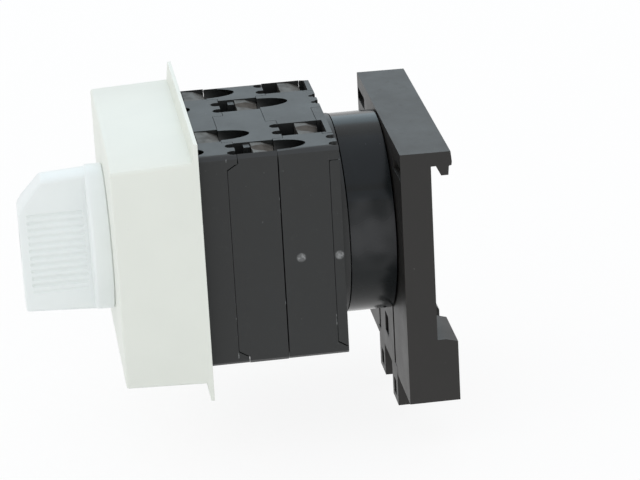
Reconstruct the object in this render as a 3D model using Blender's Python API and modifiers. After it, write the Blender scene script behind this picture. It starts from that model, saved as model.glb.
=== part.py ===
# Three-layer cam switch with a rail adapter and a module-width front cover.
# World frame: +Z up, the knob faces -Y, the mounting rail runs along X.
# The origin is on the switch axis, in the plane of the rail seat.
# All pieces are drawn in the frame of one empty: x right, y up, z = height above
# the rail seat towards the knob. The empty turns that frame upright.
import bpy
import bmesh
from math import acos, asin, cos, degrees, pi, radians, sin
from mathutils import Matrix, Vector

MM = 0.001

# Clearances
GAP = 0.3 * MM             # between two pieces that meet
SHAFT_FIT = 0.15 * MM      # all round between the square shaft and what it carries

# Contact chambers
LAYERS = ("rear", "middle", "front")
PITCH = 9.7 * MM
STACK_BACK = 18.6 * MM         # height of the seam on the rail side of the rear chamber
STACK_FRONT = STACK_BACK + len(LAYERS) * PITCH
CHAMBER_HALF = 21.35 * MM
CHAMBER_CORNER_R = 1.5 * MM
CHAMBER_FLOOR = 1.2 * MM
CHAMBER_SIDE_WALL = 2.0 * MM
CONTACT_SPACE_HALF = CHAMBER_HALF - 9.65 * MM
CONTACT_SPACE_IN = 9.6 * MM    # its inner wall, measured from the axis
CAM_POCKET_R = 8.9 * MM
GUIDE_HALF = 2.75 * MM

# Front cover, three modules of 17.5 mm wide and 45 mm high
COVER_WALL = 1.5 * MM
COVER_SIDE_ROOM = 3.4 * MM     # between the chambers and the cover's side walls
COVER_SKIRT = 0.85 * MM        # wall over and under the front chamber
COVER_HALF_WIDTH = CHAMBER_HALF + COVER_SIDE_ROOM + COVER_WALL
COVER_HALF_BACK = CHAMBER_HALF + GAP + COVER_SKIRT
COVER_HALF_FRONT = COVER_HALF_BACK - 0.6 * MM
COVER_FRONT = STACK_FRONT + 12.7 * MM
COVER_BACK = STACK_FRONT - 2.9 * MM    # height where the box meets its flange
COVER_STEP = STACK_FRONT + 1.3 * MM    # the hollow is wider below this height, over the chamber
COVER_STEP_HALF = COVER_HALF_FRONT - COVER_WALL
COVER_EDGE_R = 0.6 * MM
FLANGE_HALF = COVER_HALF_BACK + 3.55 * MM
FLANGE_ROOT = 1.1 * MM
FLANGE_EDGE = 0.7 * MM

# Terminal rows along x, alike on the top and the bottom of a chamber
ROW_IN, ROW_SPLIT = 3.0 * MM, 13.3 * MM
INNER_WELL_START = 5.0 * MM
INNER_WELL_END = ROW_SPLIT - 0.9 * MM
OUTER_WELL_START = ROW_SPLIT + 0.6 * MM
OUTER_WELL_END = CHAMBER_HALF - 0.75 * MM
WELL_FLOOR = CHAMBER_HALF - 8.25 * MM
TERMINAL_HEIGHT = 2.85 * MM
RAMP_HIGH = CHAMBER_HALF - 0.25 * MM
RAMP_LOW = RAMP_HIGH - 4.0 * MM

# Comb on the rail-side edge of each chamber, over the wells of the next one
COMB_REACH = 1.9 * MM
COMB_CHAMFER = 1.5 * MM
COMB_IN = CHAMBER_HALF - 1.6 * MM
COMB_ROOT = COMB_IN - 1.05 * MM    # start of its inner chamfer, measured from the axis
TOOTH_SLOT_WIDTH = 1.3 * MM
TOOTH_SLOT_DEPTH = 1.5 * MM
TOOTH_SLOT_SPACING = 4.0 * MM

# Screwdriver funnels: blind bores that slant down from a seam, under a half ellipse
FUNNEL_R = 2.9 * MM
FUNNEL_REACH = 6.1 * MM        # length of the half ellipse
FUNNEL_DEPTH = 7.0 * MM        # along the bore, from its mouth

# Moving contacts
CAM_HIGH = 7.6 * MM
CONTACT_TRAVEL = 1.5 * MM
CAM_THICK = 5.2 * MM
CAM_HUB_R = 4.4 * MM
PLUNGER_LENGTH = 4.3 * MM
PLUNGER_TIP_HALF = 1.3 * MM
PLUNGER_TIP = 1.2 * MM
BRIDGE_HALF = CONTACT_SPACE_HALF - 2.1 * MM
BRIDGE_THICK = 0.8 * MM
BRIDGE_WIDTH = 4.3 * MM
BRIDGE_FORK = 0.8 * MM         # width of the bridge below the plunger's stem
STRIP_THICK = 0.8 * MM
STRIP_END = BRIDGE_HALF - 2.7 * MM     # inner end of the fixed contact, from the axis
SPRING_R = 1.85 * MM
SPRING_WIRE_R = 0.25 * MM

# Shaft and bearings
SHAFT_HALF = 2.5 * MM
SHAFT_HOLE_R = 4.05 * MM       # round openings that the square shaft turns in
JOURNAL_R = 2.3 * MM
JOURNAL_BACK = 16.0 * MM

# Detent
DETENT_FRONT = COVER_FRONT - 4.4 * MM
DETENT_HALF = COVER_STEP_HALF - 0.4 * MM
DETENT_FLOOR = 1.3 * MM
DETENT_END = DETENT_HALF - 1.8 * MM    # end of the slider channels
DETENT_SPRING = 3.7 * MM
SLIDER_HALF = 2.2 * MM
SLIDER_LENGTH = 4.0 * MM
WHEEL_HIGH = DETENT_END - DETENT_SPRING - SLIDER_LENGTH - 3 * GAP
WHEEL_NOTCH = 1.4 * MM
WHEEL_THICK = 5.0 * MM

# Bearing plate in front of the detent
BEARING_THICK = 2.3 * MM
BEARING_HALF_WIDTH = COVER_HALF_WIDTH - COVER_WALL - 0.35 * MM
BEARING_HALF = DETENT_HALF
NECK_R = 7.9 * MM
NECK_FRONT = COVER_FRONT - 0.2 * MM

# End plate and spacer
END_PLATE_BACK = 16.7 * MM
COLLAR_BACK = 15.3 * MM
ROUND_R = CHAMBER_HALF - 1.6 * MM
SPACER_WALL = 2.4 * MM
SPACER_END_WALL = 1.8 * MM
SPACER_HOLE_R = 3.2 * MM

# Rail adapter, for a 35 mm rail held between hook and foot
BASE_THICK = 5.85 * MM
BASE_TOP = 20.1 * MM
BASE_BOTTOM = -31.25 * MM
HOOK_FACE = 17.25 * MM
FOOT_FACE = -18.25 * MM
HOOK_REACH = 4.05 * MM
NOSE_FACE = 15.3 * MM
NOSE_FROM = 17.5 * MM          # the hook's noses reach from here to the plate's ends
FOOT_FROM = 13.8 * MM
CORE_SLOT_TO = 25.9 * MM
CORE_SLOT_LOW = 14.7 * MM

# Rail latch
LATCH_HALF = 8.4 * MM
LATCH_SLIT = 1.6 * MM
LATCH_TOP = -14.0 * MM
LATCH_BACK = 1.2 * MM
SHOULDER_TOP = -29.7 * MM
SHOULDER_HALF = 11.0 * MM
LEG_IN = 4.6 * MM
LEG_BOTTOM = -38.2 * MM
LEG_BACK = 2.6 * MM
LEG_SLOT_X = 7.6 * MM
LEG_SLOT_WIDTH = 2.6 * MM
LEG_SLOT_HEIGHT = 3.2 * MM
TAB_HALF = 11.1 * MM
TAB_BACK, TAB_FRONT = 2.3 * MM, 3.9 * MM
TAB_BOTTOM = -24.0 * MM
POCKET_TOP, POCKET_BOTTOM = -16.0 * MM, -28.3 * MM
POCKET_FRONT = 4.3 * MM
POST_HALF = 1.9 * MM
POST_TOP, POST_BOTTOM = -26.4 * MM, -27.9 * MM
BAR_TOP, BAR_BOTTOM = -25.9 * MM, -28.9 * MM
LATCH_SPRING_R = 1.35 * MM

# Fasteners
SCREW_R = 1.5 * MM
SCREW_HEAD_R = 2.7 * MM
SCREW_HOLE_R = 1.85 * MM
TIE_OFFSET = CHAMBER_HALF - 4.55 * MM
TIE_HEAD = 1.2 * MM
ADAPTER_OFFSET = 10.0 * MM
ADAPTER_HEAD = 1.7 * MM

# Knob
KNOB_BASE_R = 14.3 * MM
KNOB_RIM = 3.0 * MM            # height of the disc's straight side
KNOB_CROWN = 3.6 * MM          # height of the disc at the handle
KNOB_FRONT = COVER_FRONT + 17.2 * MM
KNOB_TIP_HALF = 3.2 * MM
KNOB_TAIL_HALF = 6.6 * MM
KNOB_REACH = KNOB_BASE_R - 0.1 * MM    # of both handle ends, at the root
KNOB_DRAFT = 0.935             # reach at the front over that at the root
KNOB_RIBS = 12
KNOB_RIB_PITCH = 1.26 * MM
KNOB_RIB_R = 0.45 * MM
KNOB_RIB_DROP = 0.75 * MM      # of the row's middle below the axis
KNOB_RIB_BACK = COVER_FRONT + 4.6 * MM
KNOB_RIB_FRONT = KNOB_FRONT - 1.7 * MM
KNOB_WEB_FRONT = KNOB_FRONT - 4.8 * MM     # the web under the recess, that the screw holds
KNOB_WEB_BACK = KNOB_WEB_FRONT - 2.0 * MM
KNOB_RECESS_R = 3.2 * MM
KNOB_SCREW_HEAD = 1.9 * MM

# Heights that follow from the ones above
COVER_HOLE_R = NECK_R + GAP
SPACER_BACK = BASE_THICK + GAP
SPACER_FRONT = COLLAR_BACK - GAP
DETENT_BACK = STACK_FRONT + GAP / 2
BEARING_BACK = DETENT_FRONT + GAP
BEARING_FRONT = BEARING_BACK + BEARING_THICK
COVER_INNER_FRONT = BEARING_FRONT + GAP
KNOB_BACK = COVER_FRONT + GAP
SHAFT_TOP = KNOB_WEB_BACK - GAP
CAM_SEAT = CAM_HIGH + GAP      # where the plungers start
BRIDGE_SEAT = CAM_SEAT + PLUNGER_LENGTH + GAP
STRIP_IN = CONTACT_SPACE_IN + GAP

FINISHES = {
    "cover_white": ((0.78, 0.82, 0.79), 0.45, 0.0),
    "knob_white": ((0.75, 0.80, 0.80), 0.38, 0.0),
    "chamber_black": ((0.050, 0.052, 0.052), 0.55, 0.0),
    "spacer_black": ((0.016, 0.020, 0.021), 0.22, 0.0),
    "adapter_black": ((0.045, 0.044, 0.042), 0.60, 0.0),
    "inner_plastic": ((0.55, 0.50, 0.40), 0.50, 0.0),
    "brass": ((0.72, 0.55, 0.28), 0.35, 1.0),
    "zinc_steel": ((0.55, 0.55, 0.53), 0.35, 1.0),
}

FAR = 4 * MM               # how far a cutter runs past what it cuts

for leftover in list(bpy.data.objects):
    bpy.data.objects.remove(leftover)

parts = bpy.data.collections.new("rotary_switch")
bpy.context.scene.collection.children.link(parts)
cutters = bpy.data.collections.new("cutters")
bpy.context.scene.collection.children.link(cutters)


def empty(name, parent=None, location=(0, 0, 0)):
    made = bpy.data.objects.new(name, None)
    parts.objects.link(made)
    made.parent = parent
    made.location = location
    return made


stack = empty("stack_frame")
stack.rotation_euler = (radians(90), 0, 0)


# Mesh makers

def finished(bm, name):
    bmesh.ops.remove_doubles(bm, verts=bm.verts, dist=1e-6)
    bmesh.ops.recalc_face_normals(bm, faces=bm.faces)
    mesh = bpy.data.meshes.new(name)
    bm.to_mesh(mesh)
    bm.free()
    return mesh


def box(x, y, z):
    """A block from a span on each axis, in either order."""
    low = Vector([min(span) for span in (x, y, z)])
    high = Vector([max(span) for span in (x, y, z)])
    bm = bmesh.new()
    place = Matrix.Translation((low + high) / 2) @ Matrix.Diagonal((*(high - low), 1))
    bmesh.ops.create_cube(bm, size=1, matrix=place)
    return finished(bm, "box")


def cylinder(centre, radius, length, direction=(0, 0, 1), sides=24):
    turn = Vector((0, 0, 1)).rotation_difference(Vector(direction)).to_matrix().to_4x4()
    bm = bmesh.new()
    bmesh.ops.create_cone(bm, cap_ends=True, segments=sides, radius1=radius, radius2=radius,
                          depth=length, matrix=Matrix.Translation(centre) @ turn)
    return finished(bm, "cylinder")


def upright(x, y, radius, z, sides=24):
    return cylinder((x, y, (z[0] + z[1]) / 2), radius, abs(z[1] - z[0]), sides=sides)


PLANES = {
    "xy": Matrix.Identity(4),
    "yz": Matrix(((0, 0, 1, 0), (1, 0, 0, 0), (0, 1, 0, 0), (0, 0, 0, 1))),
}


def prism(points, span, plane="xy"):
    """A flat outline, filled and given thickness across its plane."""
    curve = bpy.data.curves.new("outline", "CURVE")
    curve.dimensions = "2D"
    curve.fill_mode = "BOTH"
    curve.extrude = abs(span[1] - span[0]) / 2
    spline = curve.splines.new("POLY")
    spline.points.add(len(points) - 1)
    for point, (a, b) in zip(spline.points, points):
        point.co = (a, b, 0, 1)
    spline.use_cyclic_u = True
    outline = bpy.data.objects.new("outline", curve)
    bpy.context.scene.collection.objects.link(outline)
    graph = bpy.context.evaluated_depsgraph_get()
    filled = bpy.data.meshes.new_from_object(outline.evaluated_get(graph))
    bpy.data.objects.remove(outline)
    bm = bmesh.new()
    bm.from_mesh(filled)
    bm.transform(PLANES[plane] @ Matrix.Translation((0, 0, (span[0] + span[1]) / 2)))
    return finished(bm, "prism")


def turned(profile, steps=48):
    """A profile of (radius, height), top to bottom on its outer side, turned about the axis."""
    rim = [(radius, 0, height) for radius, height in profile]
    edges = [(i, i + 1) for i in range(len(rim) - 1)]
    if profile[0][0] > 0:
        edges.append((len(rim) - 1, 0))
    mesh = bpy.data.meshes.new("profile")
    mesh.from_pydata(rim, edges, [])
    spun = bpy.data.objects.new("profile", mesh)
    bpy.context.scene.collection.objects.link(spun)
    screw = spun.modifiers.new("turn", "SCREW")
    screw.steps = steps
    screw.render_steps = steps
    screw.use_merge_vertices = True
    screw.merge_threshold = 0.00001
    graph = bpy.context.evaluated_depsgraph_get()
    solid = bpy.data.meshes.new_from_object(spun.evaluated_get(graph))
    bpy.data.objects.remove(spun)
    bm = bmesh.new()
    bm.from_mesh(solid)
    return finished(bm, "turned")


def together(meshes):
    """Meshes that don't meet, as one."""
    bm = bmesh.new()
    for mesh in meshes:
        bm.from_mesh(mesh)
    return finished(bm, "together")


def flipped(mesh, x=1, y=1):
    bm = bmesh.new()
    bm.from_mesh(mesh)
    bm.transform(Matrix.Diagonal((x, y, 1, 1)))
    return finished(bm, "flipped")


def both(mesh, x=1, y=1):
    """A mesh and its mirror image."""
    return [mesh, flipped(mesh, x, y)]


def arc(centre, radius, start, end, steps):
    points = []
    for i in range(steps + 1):
        angle = radians(start + (end - start) * i / steps)
        points.append((centre[0] + radius * cos(angle), centre[1] + radius * sin(angle)))
    return points


def rounded_rectangle(half_x, half_y, radius, steps=3):
    points = []
    for sx, sy, start in ((1, 1, 0), (-1, 1, 90), (-1, -1, 180), (1, -1, 270)):
        points += arc((sx * (half_x - radius), sy * (half_y - radius)), radius, start, start + 90, steps)
    return points


# Objects

def piece(name, mesh, finish, parent=stack):
    """One named solid with a material of its own, under the stack or a joint's empty."""
    color, roughness, metallic = FINISHES[finish]
    coat = bpy.data.materials.new(f"{name}_{finish}")
    coat.use_nodes = True
    shader = coat.node_tree.nodes["Principled BSDF"]
    shader.inputs["Base Color"].default_value = (*color, 1)
    shader.inputs["Roughness"].default_value = roughness
    shader.inputs["Metallic"].default_value = metallic
    if parent is not stack:
        mesh.transform(Matrix.Translation(-parent.location))
    mesh.materials.append(coat)
    mesh.shade_smooth()
    mesh.set_sharp_from_angle(angle=radians(35))
    solid = bpy.data.objects.new(name, mesh)
    parts.objects.link(solid)
    solid.parent = parent
    return solid


def boolean(solid, name, operation, meshes):
    tool = bpy.data.objects.new(f"{solid.name}_{name}", together(meshes))
    cutters.objects.link(tool)
    tool.parent = stack
    tool.hide_render = True
    tool.display_type = "WIRE"
    step = solid.modifiers.new(name, "BOOLEAN")
    step.operation = operation
    step.solver = "EXACT"
    step.object = tool


def cut(solid, name, *meshes):
    boolean(solid, name, "DIFFERENCE", meshes)


def fuse(solid, name, *meshes):
    boolean(solid, name, "UNION", meshes)


def round_edges(solid, width, segments=2, chosen=None):
    """Rounds the sharp edges, or only those whose middle is chosen."""
    edge = solid.modifiers.new("edges", "BEVEL")
    edge.width = width
    edge.segments = segments
    edge.limit_method = "ANGLE" if chosen is None else "WEIGHT"
    edge.angle_limit = radians(40)
    if chosen is None:
        return
    bm = bmesh.new()
    bm.from_mesh(solid.data)
    weight = bm.edges.layers.float.new("bevel_weight_edge")
    for e in bm.edges:
        middle = (e.verts[0].co + e.verts[1].co) / 2
        sharp = len(e.link_faces) == 2 and e.calc_face_angle() > radians(40)
        e[weight] = 1.0 if sharp and chosen(middle) else 0.0
    bm.to_mesh(solid.data)
    bm.free()


def spring(name, start, end, turns, radius=SPRING_R, per_turn=8):
    """A compression spring between two points: wire along a helix."""
    start, end = Vector(start), Vector(end)
    along = (end - start).normalized()
    frame = along.to_track_quat("Z", "Y").to_matrix()
    length = (end - start).length - 2 * SPRING_WIRE_R
    curve = bpy.data.curves.new(name, "CURVE")
    curve.dimensions = "3D"
    curve.bevel_depth = SPRING_WIRE_R
    curve.bevel_resolution = 2
    curve.use_fill_caps = True
    count = turns * per_turn
    spline = curve.splines.new("POLY")
    spline.points.add(count)
    for i, point in enumerate(spline.points):
        angle = 2 * pi * i / per_turn
        rise = SPRING_WIRE_R + length * i / count
        point.co = (*(start + frame @ Vector((radius * cos(angle), radius * sin(angle), rise))), 1)
    wire = bpy.data.objects.new(name, curve)
    bpy.context.scene.collection.objects.link(wire)
    graph = bpy.context.evaluated_depsgraph_get()
    mesh = bpy.data.meshes.new_from_object(wire.evaluated_get(graph))
    bpy.data.objects.remove(wire)
    bm = bmesh.new()
    bm.from_mesh(mesh)
    piece(name, finished(bm, name), "zinc_steel")


def screw(name, x, y, head, tip, head_thick, parent=stack):
    """A slotted screw; head is the height of its free face, tip the height of its end."""
    toward = 1 if tip > head else -1
    seat = head + toward * head_thick
    made = piece(name, upright(x, y, SCREW_R, (seat - toward * head_thick / 2, tip), 16), "zinc_steel", parent)
    fuse(made, "head", upright(x, y, SCREW_HEAD_R, (head, seat), 24))
    slot = (head - toward * MM, head + toward * 0.5 * MM)
    cut(made, "slot", box((x - 0.4 * MM, x + 0.4 * MM), (y - FAR, y + FAR), slot))


# Layout that the chambers, contacts and end plate share

SIDES = {"right": 1, "left": -1}
ENDS = {"top": 1, "bottom": -1}


def seam(layer):
    """Height of the seam on the rail side of a chamber; layer 3 is the stack's front."""
    return STACK_BACK + PITCH * layer


def hand(layer):
    """The side of a layer's inner wells: each chamber is turned half round from the last."""
    return 1 if layer % 2 == 0 else -1


def across(span, sign):
    return sorted((span[0] * sign, span[1] * sign))


def wells(layer):
    """The spans of x where a layer has wells, each with its side."""
    s = hand(layer)
    inner, outer = (INNER_WELL_START, INNER_WELL_END), (OUTER_WELL_START, OUTER_WELL_END)
    return [(across(inner, s), s), (across(outer, -s), -s)]


def well_rows(layer):
    """The spans of x that the next chamber's comb covers."""
    s = hand(layer)
    return [across((ROW_IN, ROW_SPLIT), s), across((ROW_SPLIT, CHAMBER_HALF + FAR), -s)]


def comb_profile(height, clearance):
    """The room that a comb below a seam takes, seen from the side."""
    c = clearance
    edge = height - COMB_REACH - c
    chamfer_end = height - COMB_CHAMFER - c
    return [
        (COMB_ROOT - c, height + FAR), (COMB_ROOT - c, height - c / 2), (COMB_IN - c, chamfer_end),
        (COMB_IN - c, edge), (CHAMBER_HALF + FAR, edge), (CHAMBER_HALF + FAR, height + FAR),
    ]


def comb_room(height, rows):
    """Notches in a front edge for the comb of the next chamber."""
    notches = []
    for low, high in rows:
        notches += both(prism(comb_profile(height, GAP), (low - GAP, high + GAP), "yz"), y=-1)
    return notches


def funnels(height, spans):
    """Bores from the surface at a seam into the chamber behind it."""
    tilt = asin(FUNNEL_R / FUNNEL_REACH)
    along = Vector((0, sin(tilt), cos(tilt)))
    outer = 2 * FUNNEL_REACH
    bores = []
    for low, high in spans:
        mouth = Vector(((low + high) / 2, CHAMBER_HALF, height))
        centre = mouth + along * (outer - FUNNEL_DEPTH) / 2
        bores += both(cylinder(centre, FUNNEL_R, outer + FUNNEL_DEPTH, along, 28), y=-1)
    return bores


# Chambers

def make_chamber(layer):
    back, front = seam(layer), seam(layer + 1)
    low, high = back + GAP / 2, front - GAP / 2
    floor, above = low + CHAMBER_FLOOR, front + FAR
    rows = well_rows(layer - 1)
    outline = rounded_rectangle(CHAMBER_HALF, CHAMBER_HALF, CHAMBER_CORNER_R)
    chamber = piece(f"chamber_{LAYERS[layer]}", prism(outline, (back - COMB_REACH, high)), "chamber_black")

    # below the seam, only the combs are left of the block
    below = back - COMB_REACH - FAR
    inside = [
        (COMB_IN, below), (COMB_IN, back - COMB_CHAMFER), (COMB_ROOT, low),
        (-COMB_ROOT, low), (-COMB_IN, back - COMB_CHAMFER), (-COMB_IN, below),
    ]
    wide = CHAMBER_HALF + FAR
    cut(chamber, "between_combs", prism(inside, (-wide, wide), "yz"))
    (a, b), (c, d) = sorted(rows)
    free = [(-wide - FAR, a), (b, c), (d, wide + FAR)]
    beside = [box(span, (-wide, wide), (below, low)) for span in free if span[1] - span[0] > FAR]
    cut(chamber, "beside_combs", *beside)
    radius = TOOTH_SLOT_WIDTH / 2
    slot_end = back - COMB_REACH + TOOTH_SLOT_DEPTH - radius
    slot_x = []
    for row in rows:
        x0, x1 = max(row[0], -CHAMBER_HALF), min(row[1], CHAMBER_HALF)
        slot_x += [(x0 + x1) / 2 + side * TOOTH_SLOT_SPACING / 2 for side in (-1, 1)]
    cut(chamber, "tooth_slots", *[box((x - radius, x + radius), (-wide, wide), (below, slot_end)) for x in slot_x])
    cut(chamber, "slot_ends", *[cylinder((x, 0, slot_end), radius, 2 * wide, (0, 1, 0), 12) for x in slot_x])

    # hollow for the cam, the two plungers and the contacts
    side = CHAMBER_HALF - CHAMBER_SIDE_WALL
    half = CONTACT_SPACE_HALF
    spaces = both(box((CONTACT_SPACE_IN, side), (-half, half), (floor, above)), x=-1)
    cut(chamber, "contact_space", upright(0, 0, CAM_POCKET_R, (floor, above), 40), *spaces)
    reach = CONTACT_SPACE_IN + MM
    cut(chamber, "plunger_guide", box((-reach, reach), (-GUIDE_HALF, GUIDE_HALF), (floor, above)))

    # terminal wells, and the fixed contacts' way in from them
    trays, lips, slots = [], [], []
    for span, sign in wells(layer):
        trays += both(box(span, (WELL_FLOOR, wide), (floor, above)), y=-1)
        lips += both(box(span, (RAMP_LOW - GAP, wide), (below, floor + MM)), y=-1)
        strip = across((CONTACT_SPACE_IN + 0.1 * MM, STRIP_IN + STRIP_THICK + GAP), sign)
        slots += both(box(strip, (half - MM, WELL_FLOOR + MM), (floor, above)), y=-1)
    passage = across((CONTACT_SPACE_IN + 0.1 * MM, OUTER_WELL_START + MM), -hand(layer))
    cut(chamber, "wells", *trays)
    cut(chamber, "well_lips", *lips)
    cut(chamber, "contact_slots", *slots)
    cut(chamber, "contact_passages", *both(box(passage, (WELL_FLOOR, WELL_FLOOR + 1.6 * MM), (floor, above)), y=-1))

    cut(chamber, "comb_room", *comb_room(front, well_rows(layer)))
    cut(chamber, "funnels", *funnels(front, [span for span, _ in wells(layer + 1)]))
    ties = both(upright(0, TIE_OFFSET, SCREW_HOLE_R, (below, above), 16), y=-1)
    cut(chamber, "screw_holes", upright(0, 0, SHAFT_HOLE_R, (below, floor + MM)), *ties)


# Contacts

def contact_base(layer):
    """Height where everything that lies in a chamber starts."""
    return seam(layer) + GAP / 2 + CHAMBER_FLOOR + GAP


def make_terminal(layer, side, end):
    span, sign = next(well for well in wells(layer) if well[1] == SIDES[side])
    e = ENDS[end]
    low = contact_base(layer)
    high = low + TERMINAL_HEIGHT
    lip = seam(layer) + 1.5 * GAP
    root = WELL_FLOOR + GAP
    profile = [
        (root, low), (root, high), (RAMP_HIGH, high), (RAMP_HIGH, high - 0.4 * MM),
        (RAMP_LOW + 0.4 * MM, lip), (RAMP_LOW, lip), (RAMP_LOW, low),
    ]
    block = flipped(prism(profile, (span[0] + GAP, span[1] - GAP), "yz"), y=e)
    terminal = piece(f"terminal_{LAYERS[layer]}_{end}_{side}", block, "zinc_steel")
    if sign != hand(layer):
        shelf = box(across((STRIP_IN, OUTER_WELL_START + MM), sign), (root, root + MM), (low, high))
        fuse(terminal, "shelf", flipped(shelf, y=e))
    strip = box(across((STRIP_IN, STRIP_IN + STRIP_THICK), sign), (STRIP_END, root + 0.8 * MM),
                (low + 0.1 * MM, high - 0.1 * MM))
    fuse(terminal, "contact", flipped(strip, y=e))


def make_moving_contact(layer, side):
    s = SIDES[side]
    low = contact_base(layer)
    high = low + BRIDGE_WIDTH
    middle = (low + high) / 2
    name = f"{LAYERS[layer]}_{side}"
    slide = empty(f"slide_{name}", stack, (s * BRIDGE_SEAT, 0, middle))
    body, tip = GUIDE_HALF - GAP, PLUNGER_TIP_HALF
    end = CAM_SEAT + PLUNGER_LENGTH
    outline = [
        (CAM_SEAT, -tip), (CAM_SEAT, tip), (CAM_SEAT + PLUNGER_TIP, body), (end, body),
        (end, -body), (CAM_SEAT + PLUNGER_TIP, -body),
    ]
    plunger = piece(f"plunger_{name}", flipped(prism(outline, (low, high + MM)), x=s), "inner_plastic", slide)
    fork = low + BRIDGE_FORK
    outer = BRIDGE_SEAT + BRIDGE_THICK
    fuse(plunger, "stem", box(across((end - MM, outer), s), (-tip, tip), (fork + GAP, high + 0.6 * MM)))
    bar = box(across((BRIDGE_SEAT, outer), s), (-BRIDGE_HALF, BRIDGE_HALF), (low, high))
    bridge = piece(f"bridge_{name}", bar, "brass", slide)
    cut(bridge, "fork", box(across((end, outer + FAR), s), (-tip - GAP, tip + GAP), (fork, high + FAR)))
    wall = CHAMBER_HALF - CHAMBER_SIDE_WALL - GAP
    spring(f"contact_spring_{name}", (s * (outer + GAP), 0, middle), (s * wall, 0, middle), 4)


def cam_outline():
    """Two equal lobes, on the x axis at rest; the radius falls evenly over a quarter turn."""
    points = []
    for i in range(48):
        angle = 360 * i / 48
        from_lobe = min(angle % 180, 180 - angle % 180)
        radius = CAM_HIGH - CONTACT_TRAVEL * from_lobe / 90
        points.append((radius * cos(radians(angle)), radius * sin(radians(angle))))
    return points


def shaft_socket(z):
    half = SHAFT_HALF + SHAFT_FIT
    return box((-half, half), (-half, half), z)


def make_rotor():
    turn = empty("turn_axis", stack)
    shaft_low = STACK_BACK + GAP + GAP / 2
    square = box((-SHAFT_HALF, SHAFT_HALF), (-SHAFT_HALF, SHAFT_HALF), (shaft_low, SHAFT_TOP))
    shaft = piece("drive_shaft", square, "zinc_steel", turn)
    fuse(shaft, "journal", upright(0, 0, JOURNAL_R, (JOURNAL_BACK, shaft_low + MM)))
    cut(shaft, "screw_hole", upright(0, 0, SCREW_R + GAP, (KNOB_BACK + MM, SHAFT_TOP + FAR), 16))

    for layer, label in enumerate(LAYERS):
        low = contact_base(layer)
        cam = piece(f"cam_{label}", prism(cam_outline(), (low, low + CAM_THICK)), "inner_plastic", turn)
        hub_top = seam(layer + 1) + GAP / 2 - GAP
        fuse(cam, "hub", upright(0, 0, CAM_HUB_R, (low + CAM_THICK - MM, hub_top), 32))
        cut(cam, "socket", shaft_socket((low - FAR, hub_top + FAR)))

    low = DETENT_BACK + DETENT_FLOOR + GAP
    outline = []
    for i in range(64):
        angle = 2 * pi * i / 64
        radius = WHEEL_HIGH - WHEEL_NOTCH * max(0, cos(4 * angle)) ** 2
        outline.append((radius * cos(angle), radius * sin(angle)))
    wheel = piece("detent_wheel", prism(outline, (low, low + WHEEL_THICK)), "inner_plastic", turn)
    cut(wheel, "socket", shaft_socket((low - FAR, low + WHEEL_THICK + FAR)))
    return turn


# Knob

def handle_outline():
    tip = degrees(acos(KNOB_TIP_HALF / KNOB_REACH))
    tail = degrees(acos(KNOB_TAIL_HALF / KNOB_REACH))
    ends = arc((0, 0), KNOB_REACH, tip, 180 - tip, 4)
    return ends + arc((0, 0), KNOB_REACH, 180 + tail, 360 - tail, 8)


def handle_half(y):
    """Half width of the handle at y."""
    top = (KNOB_REACH ** 2 - KNOB_TIP_HALF ** 2) ** 0.5
    bottom = -(KNOB_REACH ** 2 - KNOB_TAIL_HALF ** 2) ** 0.5
    return KNOB_TAIL_HALF + (KNOB_TIP_HALF - KNOB_TAIL_HALF) * (y - bottom) / (top - bottom)


def make_knob(turn):
    rim = KNOB_BACK + KNOB_RIM
    root = rim - 1.2 * MM
    handle = prism(handle_outline(), (root, KNOB_FRONT))
    for vertex in handle.vertices:
        if vertex.co.z > (root + KNOB_FRONT) / 2:
            vertex.co.y *= KNOB_DRAFT
    knob = piece("knob", handle, "knob_white", turn)
    ramp = [
        (7.4 * MM, KNOB_FRONT), (9.0 * MM, KNOB_FRONT - 1.0 * MM), (13.6 * MM, KNOB_FRONT - 5.1 * MM),
        (20 * MM, KNOB_FRONT - 12 * MM), (20 * MM, KNOB_FRONT + FAR), (7.4 * MM, KNOB_FRONT + FAR),
    ]
    wide = KNOB_BASE_R
    cut(knob, "ramp", prism(ramp, (-wide, wide), "yz"))
    round_edges(knob, 0.35 * MM)
    crown = KNOB_BACK + KNOB_CROWN
    disc = [
        (0, crown), (7.0 * MM, crown), (12.8 * MM, crown - 0.1 * MM), (KNOB_BASE_R - 0.4 * MM, rim + 0.2 * MM),
        (KNOB_BASE_R, rim - 0.2 * MM), (KNOB_BASE_R, KNOB_BACK + 0.3 * MM),
        (KNOB_BASE_R - 0.3 * MM, KNOB_BACK), (0, KNOB_BACK),
    ]
    fuse(knob, "disc", turned(disc, 64))
    ribs = []
    for i in range(KNOB_RIBS):
        y = (i - (KNOB_RIBS - 1) / 2) * KNOB_RIB_PITCH - KNOB_RIB_DROP
        x = handle_half(y) + 0.1 * MM
        ribs += both(upright(x, y, KNOB_RIB_R, (KNOB_RIB_BACK, KNOB_RIB_FRONT), 10), x=-1)
    cut(knob, "ribs", *ribs)
    below = KNOB_BACK - FAR
    groove = [(12.2 * MM, crown - 1.6 * MM), (12.2 * MM, below), (4.6 * MM, below), (4.6 * MM, crown - 1.6 * MM)]
    cut(knob, "underside", turned(groove, 48))
    cut(knob, "socket", shaft_socket((below, KNOB_WEB_BACK)))
    cut(knob, "recess", upright(0, 0, KNOB_RECESS_R, (KNOB_WEB_FRONT, KNOB_FRONT + FAR), 32))
    cut(knob, "screw_hole", upright(0, 0, SCREW_HOLE_R, (KNOB_WEB_BACK - MM, KNOB_WEB_FRONT + MM), 16))
    head = KNOB_WEB_FRONT + GAP + KNOB_SCREW_HEAD
    screw("knob_screw", 0, 0, head, KNOB_BACK + 1.5 * MM, KNOB_SCREW_HEAD, turn)


# Detent, bearing plate and cover

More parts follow.
